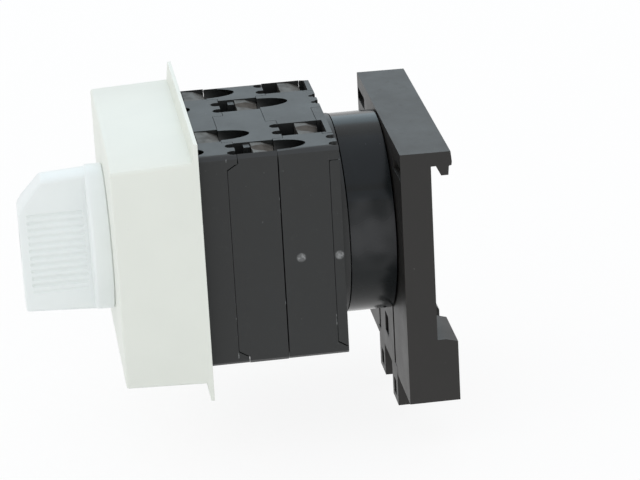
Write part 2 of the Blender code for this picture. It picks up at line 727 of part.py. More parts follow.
def make_detent():
    low = DETENT_BACK
    floor = low + DETENT_FLOOR
    above = DETENT_FRONT + FAR
    outline = rounded_rectangle(DETENT_HALF, DETENT_HALF, 2.0 * MM)
    housing = piece("detent_housing", prism(outline, (low, DETENT_FRONT)), "inner_plastic")
    cut(housing, "wheel_pocket", upright(0, 0, WHEEL_HIGH + 2 * GAP, (floor, above), 48))
    half = SLIDER_HALF + GAP
    cut(housing, "channel", box((-DETENT_END, DETENT_END), (-half, half), (floor, above)))
    ties = both(upright(0, TIE_OFFSET, SCREW_HOLE_R, (low - FAR, above), 16), y=-1)
    cut(housing, "holes", upright(0, 0, SHAFT_HOLE_R, (low - FAR, floor + MM)), *ties)
    base = floor + GAP
    start = WHEEL_HIGH + GAP
    nose = arc((start + SLIDER_HALF, 0), SLIDER_HALF, 90, 270, 10)
    end = start + SLIDER_LENGTH
    outline = nose + [(end, -SLIDER_HALF), (end, SLIDER_HALF)]
    middle = base + WHEEL_THICK / 2
    for side, s in SIDES.items():
        block = flipped(prism(outline, (base, base + WHEEL_THICK)), x=s)
        piece(f"detent_slider_{side}", block, "inner_plastic")
        spring(f"detent_spring_{side}", (s * (end + GAP), 0, middle), (s * (DETENT_END - GAP), 0, middle), 3)


def make_bearing_plate():
    outline = rounded_rectangle(BEARING_HALF_WIDTH, BEARING_HALF, 1.0 * MM)
    plate = piece("bearing_plate", prism(outline, (BEARING_BACK, BEARING_FRONT)), "inner_plastic")
    fuse(plate, "neck", upright(0, 0, NECK_R, (BEARING_BACK + MM, NECK_FRONT), 48))
    through = (BEARING_BACK - FAR, NECK_FRONT + FAR)
    ties = both(upright(0, TIE_OFFSET, SCREW_HOLE_R, through, 16), y=-1)
    cut(plate, "holes", upright(0, 0, SHAFT_HOLE_R, through), *ties)
    sunk = (BEARING_FRONT - TIE_HEAD - GAP, BEARING_FRONT + FAR)
    cut(plate, "counterbores", *both(upright(0, TIE_OFFSET, SCREW_HEAD_R + GAP, sunk), y=-1))


def make_cover():
    back = COVER_BACK - FLANGE_ROOT
    right = [
        (FLANGE_HALF, back), (FLANGE_HALF, back + FLANGE_EDGE), (COVER_HALF_BACK, COVER_BACK),
        (COVER_HALF_FRONT, COVER_FRONT),
    ]
    outline = right + [(-y, z) for y, z in reversed(right)]
    cover = piece("front_cover", prism(outline, (-COVER_HALF_WIDTH, COVER_HALF_WIDTH), "yz"), "cover_white")
    round_edges(cover, COVER_EDGE_R, 3, lambda at: at.z > COVER_BACK + MM)
    half_x = COVER_HALF_WIDTH - COVER_WALL
    half_y = CHAMBER_HALF + GAP
    low = back - FAR
    cut(cover, "chamber_room", box((-half_x, half_x), (-half_y, half_y), (low, COVER_STEP)))
    cut(cover, "hollow", box((-half_x, half_x), (-COVER_STEP_HALF, COVER_STEP_HALF), (low, COVER_INNER_FRONT)))
    cut(cover, "neck_hole", upright(0, 0, COVER_HOLE_R, (COVER_INNER_FRONT - MM, COVER_FRONT + FAR), 48))


# End plate, spacer and rail adapter

def make_end_plate():
    front = STACK_BACK - GAP / 2
    outline = rounded_rectangle(CHAMBER_HALF, CHAMBER_HALF, CHAMBER_CORNER_R)
    plate = piece("end_plate", prism(outline, (END_PLATE_BACK, front)), "chamber_black")
    fuse(plate, "collar", upright(0, 0, ROUND_R, (COLLAR_BACK, END_PLATE_BACK + 0.8 * MM), 64))
    cut(plate, "comb_room", *comb_room(STACK_BACK, well_rows(-1)))
    wide = CHAMBER_HALF + FAR
    recess = [(RAMP_LOW - 0.2 * MM, front + MM), (RAMP_LOW + 0.5 * MM, front - 0.9 * MM),
              (wide, front - 0.9 * MM), (wide, front + MM)]
    recesses = []
    for span, _ in wells(0):
        recesses += both(prism(recess, span, "yz"), y=-1)
    cut(plate, "recesses", *recesses)
    through = (COLLAR_BACK - FAR, front + FAR)
    ties = both(upright(0, TIE_OFFSET, SCREW_HOLE_R, through, 16), y=-1)
    adapters = both(upright(ADAPTER_OFFSET, 0, SCREW_HOLE_R, through, 16), x=-1)
    cut(plate, "holes", upright(0, 0, JOURNAL_R + GAP, through), *ties, *adapters)


def make_spacer():
    inner = ROUND_R - SPACER_WALL
    wall = SPACER_FRONT - SPACER_END_WALL
    profile = [
        (ROUND_R, SPACER_FRONT), (ROUND_R, SPACER_BACK), (inner, SPACER_BACK), (inner, wall),
        (SPACER_HOLE_R, wall), (SPACER_HOLE_R, SPACER_FRONT),
    ]
    spacer = piece("spacer", turned(profile, 72), "spacer_black")
    holes = both(upright(ADAPTER_OFFSET, 0, SCREW_HOLE_R, (wall - MM, SPACER_FRONT + MM), 16), x=-1)
    cut(spacer, "screw_holes", *holes)


def make_rail_base():
    edge = COVER_HALF_WIDTH
    front = BASE_THICK
    side = [
        (BASE_BOTTOM, front), (BASE_TOP, front), (BASE_TOP - 0.1 * MM, 0.2 * MM - HOOK_REACH),
        (17.9 * MM, -HOOK_REACH), (17.2 * MM, 0.1 * MM - HOOK_REACH), (17.1 * MM, -3.45 * MM),
        (NOSE_FACE, -3.3 * MM), (NOSE_FACE, -1.9 * MM), (HOOK_FACE, -0.95 * MM), (HOOK_FACE, 0),
        (FOOT_FACE, 0), (FOOT_FACE, -1.65 * MM), (-18.9 * MM, -4.0 * MM), (BASE_BOTTOM, -HOOK_REACH),
    ]
    base = piece("rail_base", prism(side, (-edge, edge), "yz"), "adapter_black")
    behind = -HOOK_REACH - FAR
    nose_gap = box((-NOSE_FROM, NOSE_FROM), (NOSE_FACE - MM, HOOK_FACE + 0.1 * MM), (behind, -0.3 * MM))
    foot_gap = box((-FOOT_FROM, FOOT_FROM), (BASE_BOTTOM - MM, FOOT_FACE + MM), (behind, 0.1 * MM))
    cut(base, "hook_and_foot", nose_gap, foot_gap)
    slot = box((NOSE_FROM, CORE_SLOT_TO), (CORE_SLOT_LOW, HOOK_FACE - 0.05 * MM), (-0.5 * MM, front + MM))
    cut(base, "core_slots", *both(slot, x=-1))
    half = LATCH_HALF + LATCH_SLIT
    out = BASE_BOTTOM - MM
    cut(base, "latch_opening", box((-half, half), (out, LATCH_TOP + GAP), (behind, front + MM)))
    wide = SHOULDER_HALF + GAP
    cut(base, "shoulder_room", box((-wide, wide), (out, SHOULDER_TOP + GAP), (behind, front + MM)))
    groove = box((LATCH_HALF, TAB_HALF + GAP), (out, LATCH_TOP + 0.1 * MM), (TAB_BACK - GAP, TAB_FRONT + GAP))
    cut(base, "tab_grooves", *both(groove, x=-1))
    bar_half = wide + MM
    fuse(base, "bar", box((-bar_half, bar_half), (BAR_BOTTOM, BAR_TOP), (-MM, LATCH_BACK - GAP)))
    fuse(base, "post", box((-POST_HALF, POST_HALF), (POST_BOTTOM, POST_TOP), (0, POCKET_FRONT - GAP)))
    sunk = GAP + ADAPTER_HEAD + 2 * GAP
    bores = both(upright(ADAPTER_OFFSET, 0, SCREW_HOLE_R, (-MM, front + MM), 16), x=-1)
    sinks = both(upright(ADAPTER_OFFSET, 0, SCREW_HEAD_R + GAP, (-MM, sunk)), x=-1)
    cut(base, "screw_holes", *bores)
    cut(base, "counterbores", *sinks)


def make_rail_latch():
    slide = empty("latch_slide", stack, (0, POST_TOP, (LATCH_BACK + BASE_THICK) / 2))
    right = [
        (LATCH_HALF, LATCH_TOP), (LATCH_HALF, SHOULDER_TOP), (SHOULDER_HALF, SHOULDER_TOP),
        (SHOULDER_HALF, LEG_BOTTOM), (LEG_IN, LEG_BOTTOM), (LEG_IN, BASE_BOTTOM),
    ]
    outline = right + [(-x, y) for x, y in reversed(right)]
    latch = piece("rail_latch", prism(outline, (LATCH_BACK, BASE_THICK)), "adapter_black", slide)
    behind = -FAR
    wide = SHOULDER_HALF + MM
    leg_top = BASE_BOTTOM - 0.3 * MM
    cut(latch, "leg_backs", box((-wide, wide), (LEG_BOTTOM - MM, leg_top), (behind, LEG_BACK)))
    w, h = LEG_SLOT_WIDTH, LEG_SLOT_HEIGHT
    middle = (leg_top + LEG_BOTTOM) / 2 - 0.5 * MM
    slot = box((LEG_SLOT_X - w / 2, LEG_SLOT_X + w / 2), (middle - h / 2, middle + h / 2), (behind, BASE_THICK + MM))
    cut(latch, "leg_slots", *both(slot, x=-1))
    tab = box((LATCH_HALF - MM, TAB_HALF), (TAB_BOTTOM, LATCH_TOP - 0.4 * MM), (TAB_BACK, TAB_FRONT))
    fuse(latch, "tabs", *both(tab, x=-1))
    nose = [
        (-18.3 * MM, LATCH_BACK + MM), (-18.3 * MM, -1.15 * MM), (-17.4 * MM, -1.45 * MM), (-17.4 * MM, -2.2 * MM),
        (-19.6 * MM, -3.6 * MM), (-22.4 * MM, -3.6 * MM), (-22.4 * MM, LATCH_BACK + MM),
    ]
    fuse(latch, "nose", prism(nose, (-LATCH_HALF + GAP, LATCH_HALF - GAP), "yz"))
    room = POST_HALF + GAP
    cut(latch, "pocket", box((-room, room), (POCKET_BOTTOM, POCKET_TOP), (behind - MM, POCKET_FRONT)))
    window = 2.0 * MM
    cut(latch, "window", box((-window, window), (-27.0 * MM, -22.8 * MM), (POCKET_FRONT - MM, BASE_THICK + MM)))
    middle = POCKET_FRONT - GAP - LATCH_SPRING_R - SPRING_WIRE_R
    ends = (0, POCKET_TOP - GAP, middle), (0, POST_TOP + GAP, middle)
    spring("latch_spring", *ends, 7, LATCH_SPRING_R)


for index in range(len(LAYERS)):
    make_chamber(index)
    for side_name in SIDES:
        for end_name in ENDS:
            make_terminal(index, side_name, end_name)
        make_moving_contact(index, side_name)
rotor = make_rotor()
make_knob(rotor)
make_detent()
make_bearing_plate()
make_cover()
make_end_plate()
make_spacer()
make_rail_base()
make_rail_latch()
for end_name, sign_y in ENDS.items():
    screw(f"tie_screw_{end_name}", 0, sign_y * TIE_OFFSET, BEARING_FRONT, END_PLATE_BACK + GAP, TIE_HEAD)
for side_name, sign_x in SIDES.items():
    tip_height = STACK_BACK - 2 * GAP
    screw(f"adapter_screw_{side_name}", sign_x * ADAPTER_OFFSET, 0, 2 * GAP, tip_height, ADAPTER_HEAD)
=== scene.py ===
import bpy
import bmesh
from math import acos, cos, degrees, pi, radians, sin
from mathutils import Euler, Matrix, Vector


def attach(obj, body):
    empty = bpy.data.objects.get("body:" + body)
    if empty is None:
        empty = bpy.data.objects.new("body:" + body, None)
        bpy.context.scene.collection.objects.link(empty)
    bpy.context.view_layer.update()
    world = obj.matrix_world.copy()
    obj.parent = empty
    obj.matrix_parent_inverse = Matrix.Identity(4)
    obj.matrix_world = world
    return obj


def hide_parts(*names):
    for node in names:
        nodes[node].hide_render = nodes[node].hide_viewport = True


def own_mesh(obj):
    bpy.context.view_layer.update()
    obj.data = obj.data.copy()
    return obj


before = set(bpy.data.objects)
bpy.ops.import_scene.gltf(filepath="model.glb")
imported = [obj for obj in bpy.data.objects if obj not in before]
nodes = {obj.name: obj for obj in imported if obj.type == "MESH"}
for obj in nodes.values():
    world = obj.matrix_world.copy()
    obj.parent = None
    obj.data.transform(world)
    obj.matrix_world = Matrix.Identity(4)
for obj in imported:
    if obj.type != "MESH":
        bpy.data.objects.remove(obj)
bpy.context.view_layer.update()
mm = 0.001
# the contact chambers set the switch's outline; heights are measured from the rail seat
stack = {"back": 18.6 * mm, "pitch": 9.7 * mm, "half": 21.35 * mm}
seams = [stack["back"] + stack["pitch"] * layer for layer in range(3)]
print("frame loaded:", len(nodes), "nodes")


# a wrapped node socket: plain arithmetic on it adds Math nodes
class Sock:
    def __init__(self, tree, socket=None):
        self.tree = tree
        self.socket = socket

    # the one way to add a node: settings come first, then values or links of its sockets
    def node(self, kind, settings=None, inputs=None, output=0):
        made = self.tree.nodes.new("ShaderNode" + kind)
        for key, value in (settings or {}).items():
            setattr(made, key, value)
        for key, value in (inputs or {}).items():
            if isinstance(value, Sock):
                self.tree.links.new(value.socket, made.inputs[key])
            else:
                made.inputs[key].default_value = value
        return Sock(self.tree, made.outputs[output]) if len(made.outputs) else made

    def math(self, operation, first, second=0.0):
        return self.node("Math", {"operation": operation}, {0: first, 1: second})

    def __add__(self, other):
        return self.math("ADD", self, other)

    def __sub__(self, other):
        return self.math("SUBTRACT", self, other)

    def __rsub__(self, other):
        return self.math("SUBTRACT", other, self)

    def __mul__(self, other):
        return self.math("MULTIPLY", self, other)

    def __abs__(self):
        return self.math("ABSOLUTE", self)

    def __or__(self, other):  # the larger of two masks
        return self.math("MAXIMUM", self, other)

    __radd__ = __add__
    __rmul__ = __mul__

    def smooth(self, low, high):  # 0 below low, 1 above high
        values = {0: self, 1: low, 2: high, 3: 0.0, 4: 1.0}
        return self.node("MapRange", {"interpolation_type": "SMOOTHSTEP"}, values)

    def within(self, middle, half, soft):  # 1 near a value, 0 away from it
        return 1 - abs(self - middle).smooth(half, half + soft)

    def blend(self, first, second):  # colours, with this value as the factor
        settings = {"data_type": "RGBA", "clamp_factor": True}
        first = first if isinstance(first, Sock) else (*first, 1)
        second = second if isinstance(second, Sock) else (*second, 1)
        return self.node("Mix", settings, {0: self, 6: first, 7: second}, output=2)

    def noise(self, size, detail=3.0, rough=0.55):
        values = {"Vector": self, "Scale": 1 / size, "Detail": detail, "Roughness": rough}
        return self.node("TexNoise", {}, values)

    def apart(self, point):  # distance from a point
        return self.node("VectorMath", {"operation": "DISTANCE"}, {0: self, 1: point}, output=1)

    def axis(self, index):
        return self.node("SeparateXYZ", {}, {0: self}, output=index)


def newMaterial(name):
    material = bpy.data.materials.new(name)
    material.use_nodes = True
    material.node_tree.nodes.clear()
    return material, Sock(material.node_tree)


def tint(colour, factor):
    return tuple(min(1.0, c * factor) for c in colour)


# moulded plastic, shared by all the housings; look has what differs
def mouldedPlastic(name, look):
    material, graph = newMaterial(name)
    place = graph.node("TexCoord", output=3)
    broad = place.noise(look["mottleSize"])            # slow unevenness of the moulding
    fine = place.noise(look["grainSize"], 2)           # eroded grain of the mould
    dust = place.noise(look["dustSize"], 1, 0.4).smooth(0.79, 0.82)
    rub = place.noise(look["mottleSize"] * 0.45, 5, 0.7).smooth(0.56, 0.74)
    darker, lighter = (tint(look["colour"], 1 + sign * look["mottle"]) for sign in (-1, 1))
    colour = broad.smooth(0.3, 0.7).blend(darker, lighter)
    colour = (rub * look["rubShade"]).blend(colour, look["dustColour"])
    colour = (dust * look["dust"]).blend(colour, look["dustColour"])
    rough = look["roughness"] + (broad - 0.5) * look["roughSpread"] + rub * look["rub"]
    height = fine * look["grainDepth"] + broad * look["sinkDepth"]
    if "paleLineSeams" in look:  # thin pale lines, broken up, lightened into the colour along the seams of the side faces
        along = place.axis(1)
        near = along.within(look["paleLineSeams"][0], 0.05 * mm, 0.08 * mm)
        for seam in look["paleLineSeams"][1:]:
            near = near | along.within(seam, 0.05 * mm, 0.08 * mm)
        broken = place.noise(look["paleLineBreak"], 4, 0.65).smooth(0.60, 0.70)
        paleLine = near * broken * abs(place.axis(0)).smooth(21.0 * mm, 21.2 * mm)
        colour = (paleLine * look["paleLine"]).blend(colour, look["paleLineColour"])
    for point in look.get("gateMarks", ()):  # rough pale spots where the moulding was fed
        spot = 1 - place.apart(point).smooth(0.55 * mm, 1.05 * mm)
        crumbs = place.noise(0.6 * mm, 3, 0.6).smooth(0.44, 0.60)
        colour = (spot * (0.45 + crumbs * 0.55)).blend(colour, look["gateColour"])
        height = height + spot * crumbs * 0.05
    if "paintedSheen" in look:  # drawn waves as bumps across the middle of a turned face, with painted reflection: lighter patches there in the colour
        up = place.axis(2)
        band = up.smooth(-6.0 * mm, -2.0 * mm) * (1 - up.smooth(8.0 * mm, 10.5 * mm))
        swirl = place.noise(look["paintedSheenSize"], 1, 0.4)
        # painted reflection: patches of the band are lightened in colour, standing in for reflected light
        sheenPatch = swirl.smooth(0.44, 0.66) * band
        colour = (sheenPatch * look["paintedSheen"]).blend(colour, look["paintedSheenColour"])
        rough = rough + sheenPatch * 0.16
        height = height + swirl * band * look["waveDepth"]
    bump = graph.node("Bump", {}, {"Strength": 1.0, "Distance": mm, "Height": height})
    shader = graph.node("BsdfPrincipled", {}, {
        "Base Color": colour, "Roughness": rough, "Normal": bump, "IOR": look["ior"],
        "Subsurface Weight": look["glow"], "Subsurface Radius": (1, 1, 1), "Subsurface Scale": 0.0012,
    })
    graph.node("OutputMaterial", {}, {"Surface": shader})
    return material


# plated or bare metal
def stampedMetal(name, look):
    material, graph = newMaterial(name)
    place = graph.node("TexCoord", output=3)
    tarnish = place.noise(look["patchSize"], 4, 0.6).smooth(0.35, 0.75)
    fine = place.noise(look["grainSize"], 2)
    colour = tarnish.blend(look["colour"], look["tarnish"])
    rough = look["roughness"] + tarnish * look["roughSpread"]
    bump = graph.node("Bump", {}, {"Strength": 1.0, "Distance": mm, "Height": fine * look["grainDepth"]})
    shader = graph.node("BsdfPrincipled", {}, {
        "Base Color": colour, "Metallic": 1.0, "Roughness": rough, "Normal": bump,
    })
    graph.node("OutputMaterial", {}, {"Surface": shader})
    return material


def dress(name, material):
    node = nodes[name]
    if not node.data.materials:
        node.data.materials.append(material)
    for index in range(len(node.material_slots)):
        node.material_slots[index].material = material


# pieces are drawn as the switch lies in its stack: x right, y up, z away from the rail
upright = Matrix(((1, 0, 0, 0), (0, 0, -1, 0), (0, 1, 0, 0), (0, 0, 0, 1)))


def solidObject(name, bm, stand=True):
    if stand:
        bm.transform(upright)
    bmesh.ops.recalc_face_normals(bm, faces=bm.faces)
    mesh = bpy.data.meshes.new(name)
    bm.to_mesh(mesh)
    bm.free()
    made = bpy.data.objects.new(name, mesh)
    bpy.context.scene.collection.objects.link(made)
    return made


def block(x, y, z):
    low = Vector([min(span) for span in (x, y, z)])
    high = Vector([max(span) for span in (x, y, z)])
    bm = bmesh.new()
    place = Matrix.Translation((low + high) / 2) @ Matrix.Diagonal((*(high - low), 1))
    bmesh.ops.create_cube(bm, size=1, matrix=place)
    return solidObject("block", bm)


def rod(centre, radius, length, along=(0, 0, 1), sides=48):
    turn = Vector((0, 0, 1)).rotation_difference(Vector(along)).to_matrix().to_4x4()
    bm = bmesh.new()
    place = Matrix.Translation(centre) @ turn
    bmesh.ops.create_cone(
        bm, cap_ends=True, segments=sides, radius1=radius, radius2=radius, depth=length, matrix=place,
    )
    return solidObject("rod", bm)


def capsule(centre, radius, length):  # along z, with round ends
    bm = bmesh.new()
    bmesh.ops.create_uvsphere(bm, u_segments=32, v_segments=16, radius=radius)
    for vertex in bm.verts:
        vertex.co.z += (length / 2 - radius) * (1 if vertex.co.z > 1e-7 else -1)
        vertex.co += Vector(centre)
    return solidObject("capsule", bm)


def revolved(profile, steps=96):  # a closed outline of (radius, height) turned about z
    bm = bmesh.new()
    rim = [bm.verts.new((radius, 0, height)) for radius, height in profile]
    edges = [bm.edges.new(pair) for pair in zip(rim, rim[1:] + rim[:1])]
    bmesh.ops.spin(bm, geom=rim + edges, cent=(0, 0, 0), axis=(0, 0, 1), angle=2 * pi, steps=steps, use_merge=True)
    bmesh.ops.remove_doubles(bm, verts=bm.verts, dist=0.001 * mm)
    return solidObject("revolved", bm)


def combined(target, steps):  # Boolean steps in order, applied; the tools are then gone
    for operation, tool in steps:
        step = target.modifiers.new(operation.lower(), "BOOLEAN")
        step.operation, step.solver, step.object = operation, "EXACT", tool
    graph = bpy.context.evaluated_depsgraph_get()
    mesh = bpy.data.meshes.new_from_object(target.evaluated_get(graph))
    target.modifiers.clear()
    target.data = mesh
    for _, tool in steps:
        bpy.data.objects.remove(tool)
    return target


def swell(bm, step):  # moves the faces out, but not those on the stack's own outline
    limit = stack["half"]
    bm.normal_update()
    moves = []
    for vertex in bm.verts:
        planes = []
        for face in vertex.link_faces:
            normal = face.normal
            outer = any(
                abs(normal[a]) > 0.99 and abs(abs(vertex.co[a]) - limit) < 0.02 * mm for a in (0, 2)
            )
            if all(normal.dot(other) < 0.999 for other, _ in planes):
                planes.append((normal.copy(), 0.0 if outer else step))
        move = Vector()
        for _ in range(25):  # settles where all the moved planes meet
            for normal, goal in planes:
                move += normal * (goal - normal.dot(move))
        moves.append(move if move.length < 3 * step else move.normalized() * step)
    for vertex, move in zip(bm.verts, moves):
        vertex.co += move


# the node's own shape, with its edges rounded
def softened(name, body, material, edge, segments=2, grow=0.0, steps=()):
    bm = bmesh.new()
    bm.from_mesh(nodes[name].data)
    bmesh.ops.remove_doubles(bm, verts=bm.verts, dist=0.002 * mm)
    bmesh.ops.dissolve_limit(bm, angle_limit=radians(0.5), verts=bm.verts, edges=bm.edges)
    if grow:
        swell(bm, grow)
    shell = solidObject(name + "_shell", bm, stand=False)
    if steps:
        combined(shell, steps)
    return finished(shell, name, body, material, edge, segments)


def finished(shell, name, body, material, edge, segments=2):
    mesh = shell.data
    for layer in [a.name for a in mesh.attributes if a.name == "custom_normal"]:
        mesh.attributes.remove(mesh.attributes[layer])
    mesh.materials.clear()
    mesh.materials.append(material)
    mesh.shade_smooth()
    mesh.set_sharp_from_angle(angle=radians(35))
    if edge:
        bevel = shell.modifiers.new("edges", "BEVEL")
        bevel.width = edge
        bevel.segments = segments
        bevel.limit_method = "ANGLE"
        bevel.angle_limit = radians(30)
        bevel.use_clamp_overlap = True
        bevel.harden_normals = True
        bevel.miter_outer = "MITER_ARC"
    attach(shell, body)
    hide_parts(name)
    return shell


# front cover
cover = {
    "edge": 0.15 * mm,
    "colour": (0.811, 0.836, 0.767), "mottle": 0.012, "mottleSize": 14 * mm,
    "roughness": 0.42, "roughSpread": 0.10, "rub": 0.03, "rubShade": 0.02,
    "grainSize": 0.22 * mm, "grainDepth": 0.006, "sinkDepth": 0.03,
    "dustSize": 1.1 * mm, "dust": 0.10, "dustColour": (0.60, 0.62, 0.58),
    "ior": 1.49, "glow": 0.12,
}
coverPlastic = mouldedPlastic("greenish white moulding", cover)
softened("front_cover", "frame", coverPlastic, cover["edge"])
print("front cover done")

# knob
knob = {
    "radius": 14.3 * mm, "back": 60.42 * mm, "crown": 64.3 * mm, "front": 77.6 * mm,
    "rimRound": 0.8 * mm, "edge": 0.45 * mm,
    "reach": 14.2 * mm, "tipHalf": 3.2 * mm, "tailHalf": 6.6 * mm, "draft": 0.935,
    "ribs": 12, "ribPitch": 1.36 * mm, "ribTop": 6.8 * mm, "ribRadius": 0.46 * mm,
    "ribDepth": 0.30 * mm, "ribBack": 64.9 * mm, "ribFront": 76.1 * mm,
    "recess": 3.2 * mm, "webFront": 72.8 * mm, "webBack": 70.8 * mm,
    "shaftHole": 2.65 * mm, "screwHole": 1.85 * mm,
    "wall": 1.6 * mm, "grooveOuter": 12.2 * mm, "grooveInner": 4.6 * mm,
    "colour": (0.865, 0.900, 0.885), "mottle": 0.012, "mottleSize": 9 * mm,
    "roughness": 0.36, "roughSpread": 0.10, "rub": 0.04, "rubShade": 0.02,
    "grainSize": 0.18 * mm, "grainDepth": 0.004, "sinkDepth": 0.03,
    "dustSize": 1.0 * mm, "dust": 0.06, "dustColour": (0.60, 0.62, 0.62),
    "ior": 1.49, "glow": 0.12,
}
knobPlastic = mouldedPlastic("cool white moulding", knob)


def circlePoints(radius, start, end, steps):
    turns = [radians(start + (end - start) * i / steps) for i in range(steps + 1)]
    return [(radius * cos(turn), radius * sin(turn)) for turn in turns]


def shave(bm, point, normal):  # cuts a convex body with a plane and closes it
    geom = bm.verts[:] + bm.edges[:] + bm.faces[:]
    bmesh.ops.bisect_plane(bm, geom=geom, plane_co=point, plane_no=normal, clear_outer=True, dist=1e-7)
    rim = [edge for edge in bm.edges if edge.is_boundary]
    bmesh.ops.edgeloop_fill(bm, edges=rim)


def flankHalf(y):  # half width of the handle at y
    top = (knob["reach"] ** 2 - knob["tipHalf"] ** 2) ** 0.5
    bottom = -(knob["reach"] ** 2 - knob["tailHalf"] ** 2) ** 0.5
    return knob["tailHalf"] + (knob["tipHalf"] - knob["tailHalf"]) * (y - bottom) / (top - bottom)


def makeHandle():
    tip = degrees(acos(knob["tipHalf"] / knob["reach"]))
    tail = degrees(acos(knob["tailHalf"] / knob["reach"]))
    outline = circlePoints(knob["reach"], tip, 180 - tip, 4)
    outline += circlePoints(knob["reach"], 180 + tail, 360 - tail, 12)
    front, root = knob["front"], knob["crown"] - 1.8 * mm
    bm = bmesh.new()
    low = [bm.verts.new((x, y, root)) for x, y in outline]
    high = [bm.verts.new((x, y * knob["draft"], front)) for x, y in outline]
    bm.faces.new(low)
    bm.faces.new(high)
    for i in range(len(outline)):
        j = (i + 1) % len(outline)
        bm.faces.new((low[i], low[j], high[j], high[i]))
    # the pointing end falls away in three planes, with a facet on each side
    shave(bm, (0, 7.4 * mm, front), (0, 1.0, 1.6))
    shave(bm, (0, 9.0 * mm, front - 1.0 * mm), (0, 4.1, 4.6))
    shave(bm, (0, 13.6 * mm, front - 5.1 * mm), (0, 6.9, 6.4))
    for side in (1, -1):
        corner = Vector((side * 4.0 * mm, 7.6 * mm, front))
        foot = Vector((side * 3.25 * mm, 13.75 * mm, knob["crown"]))
        crest = Vector((side * 1.3 * mm, 13.6 * mm, front - 5.3 * mm))
        normal = (foot - corner).cross(crest - corner)
        normal *= 1 if normal.x * side > 0 else -1
        shave(bm, corner, normal)
    bmesh.ops.recalc_face_normals(bm, faces=bm.faces)
    sharp = [edge for edge in bm.edges if edge.calc_face_angle(0) > radians(14)]
    bmesh.ops.bevel(
        bm, geom=sharp, offset=knob["edge"], segments=3, profile=0.5, affect="EDGES", clamp_overlap=True,
    )
    return solidObject("knob_shell", bm)


def makeKnob():
    radius, back, crown = knob["radius"], knob["back"], knob["crown"]
    rim = circlePoints(knob["rimRound"], 90, 0, 5)
    profile = [(0, crown), (7 * mm, crown), (12.4 * mm, crown - 0.05 * mm)]
    profile += [(radius - knob["rimRound"] + x, crown - 0.1 * mm - knob["rimRound"] + y) for x, y in rim]
    profile += [(radius, back + 0.25 * mm), (radius - 0.25 * mm, back), (0, back)]
    below, above = back - 2 * mm, knob["front"] + 2 * mm
    top = crown - knob["wall"]
    outer, inside = knob["grooveOuter"], knob["grooveInner"]
    groove = [(outer, top), (outer, below), (inside, below), (inside, top)]
    steps = [("UNION", revolved(profile))]
    for index in range(knob["ribs"]):
        y = knob["ribTop"] - index * knob["ribPitch"]
        depth = knob["ribDepth"] * (0.4 if index == knob["ribs"] - 1 else 1.0)  # the last one is faint
        x = flankHalf(y) + knob["ribRadius"] - depth
        middle = (knob["ribBack"] + knob["ribFront"]) / 2
        length = knob["ribFront"] - knob["ribBack"]
        for side in (1, -1):
            steps.append(("DIFFERENCE", capsule((side * x, y, middle), knob["ribRadius"], length)))
    fit, web = knob["shaftHole"], knob["webFront"]
    steps.append(("DIFFERENCE", revolved(groove)))
    steps.append(("DIFFERENCE", block((-fit, fit), (-fit, fit), (below, knob["webBack"]))))
    steps.append(("DIFFERENCE", rod((0, 0, (web + above) / 2), knob["recess"], above - web)))
    steps.append(("DIFFERENCE", rod((0, 0, web - mm), knob["screwHole"], 4 * mm)))
    finished(combined(makeHandle(), steps), "knob", "rotor", knobPlastic, 0)


makeKnob()
print("knob done")

# contact chambers and end plate
chamber = {
    "edge": 0.08 * mm, "grow": 0.105 * mm,
    "colour": (0.0135, 0.0150, 0.0150), "mottle": 0.07, "mottleSize": 7 * mm,
    "roughness": 0.44, "roughSpread": 0.14, "rub": 0.06, "rubShade": 0.05,
    "grainSize": 0.16 * mm, "grainDepth": 0.006, "sinkDepth": 0.05,
    "dustSize": 0.9 * mm, "dust": 0.4, "dustColour": (0.12, 0.13, 0.13),
    # thin pale broken lines lightened into the colour along the side seams and the end plate's back edge
    "paleLineSeams": [-(seam + 0.12 * mm) for seam in seams] + [-16.75 * mm],
    "paleLineBreak": 2.6 * mm, "paleLine": 0.7, "paleLineColour": (0.26, 0.27, 0.27),
    "gateMarks": [(21.35 * mm, -24.9 * mm, -0.4 * mm), (21.35 * mm, -17.5 * mm, -0.6 * mm)],
    "gateColour": (0.24, 0.245, 0.245),
    "ior": 1.5, "glow": 0.0,
}
chamberPlastic = mouldedPlastic("charcoal moulding", chamber)


def ledges():  # small blocks at the corners of the middle chamber's wells
    steps = []
    half = stack["half"]
    z = (seams[1] + 4.65 * mm, seams[1] + 5.85 * mm)
    for low in (-12.4 * mm, 13.9 * mm):
        for end in (1, -1):
            up = (end * (half - 0.3 * mm), end * (half - 3.0 * mm))
            steps.append(("UNION", block((low - 0.4 * mm, low + 2.3 * mm), up, z)))
    return steps


def squareNotches():  # the end plate's right edge ends square under the rear chamber's combs
    far = stack["half"] + mm
    x, z = (13.0 * mm, far), (15 * mm, 20 * mm)
    return [("DIFFERENCE", block(x, (end * low, end * far), z)) for end, low in ((1, 18.65 * mm), (-1, 19.55 * mm))]


def squareCombs():  # the rear chamber's combs fill those notches
    x, z = (13.5 * mm, stack["half"] - 0.02 * mm), (16.75 * mm, 18.75 * mm)
    return [("UNION", block(x, (end * low, end * 20.3 * mm), z)) for end, low in ((1, 18.75 * mm), (-1, 19.65 * mm))]


def wideSlots(layer):  # rounded notches in a chamber's combs
    reach, radius, depth = 1.99 * mm, 1.05 * mm, 1.65 * mm
    side = -1 if layer % 2 == 0 else 1
    wide, length = stack["half"] + mm, 2.2 * mm
    floor = seams[layer] - reach + depth - radius
    steps = []
    for comb in (side * 8.15 * mm, -side * 17.33 * mm):
        for x in (comb - 2 * mm, comb + 2 * mm):
            for end in (1, -1):
                up = (end * (wide - length), end * wide)
                middle = (x, end * (wide - length / 2), floor)
                steps.append(("DIFFERENCE", block((x - radius, x + radius), up, (seams[layer] - 4 * mm, floor))))
                steps.append(("DIFFERENCE", rod(middle, radius, length, (0, 1, 0), 20)))
    return steps


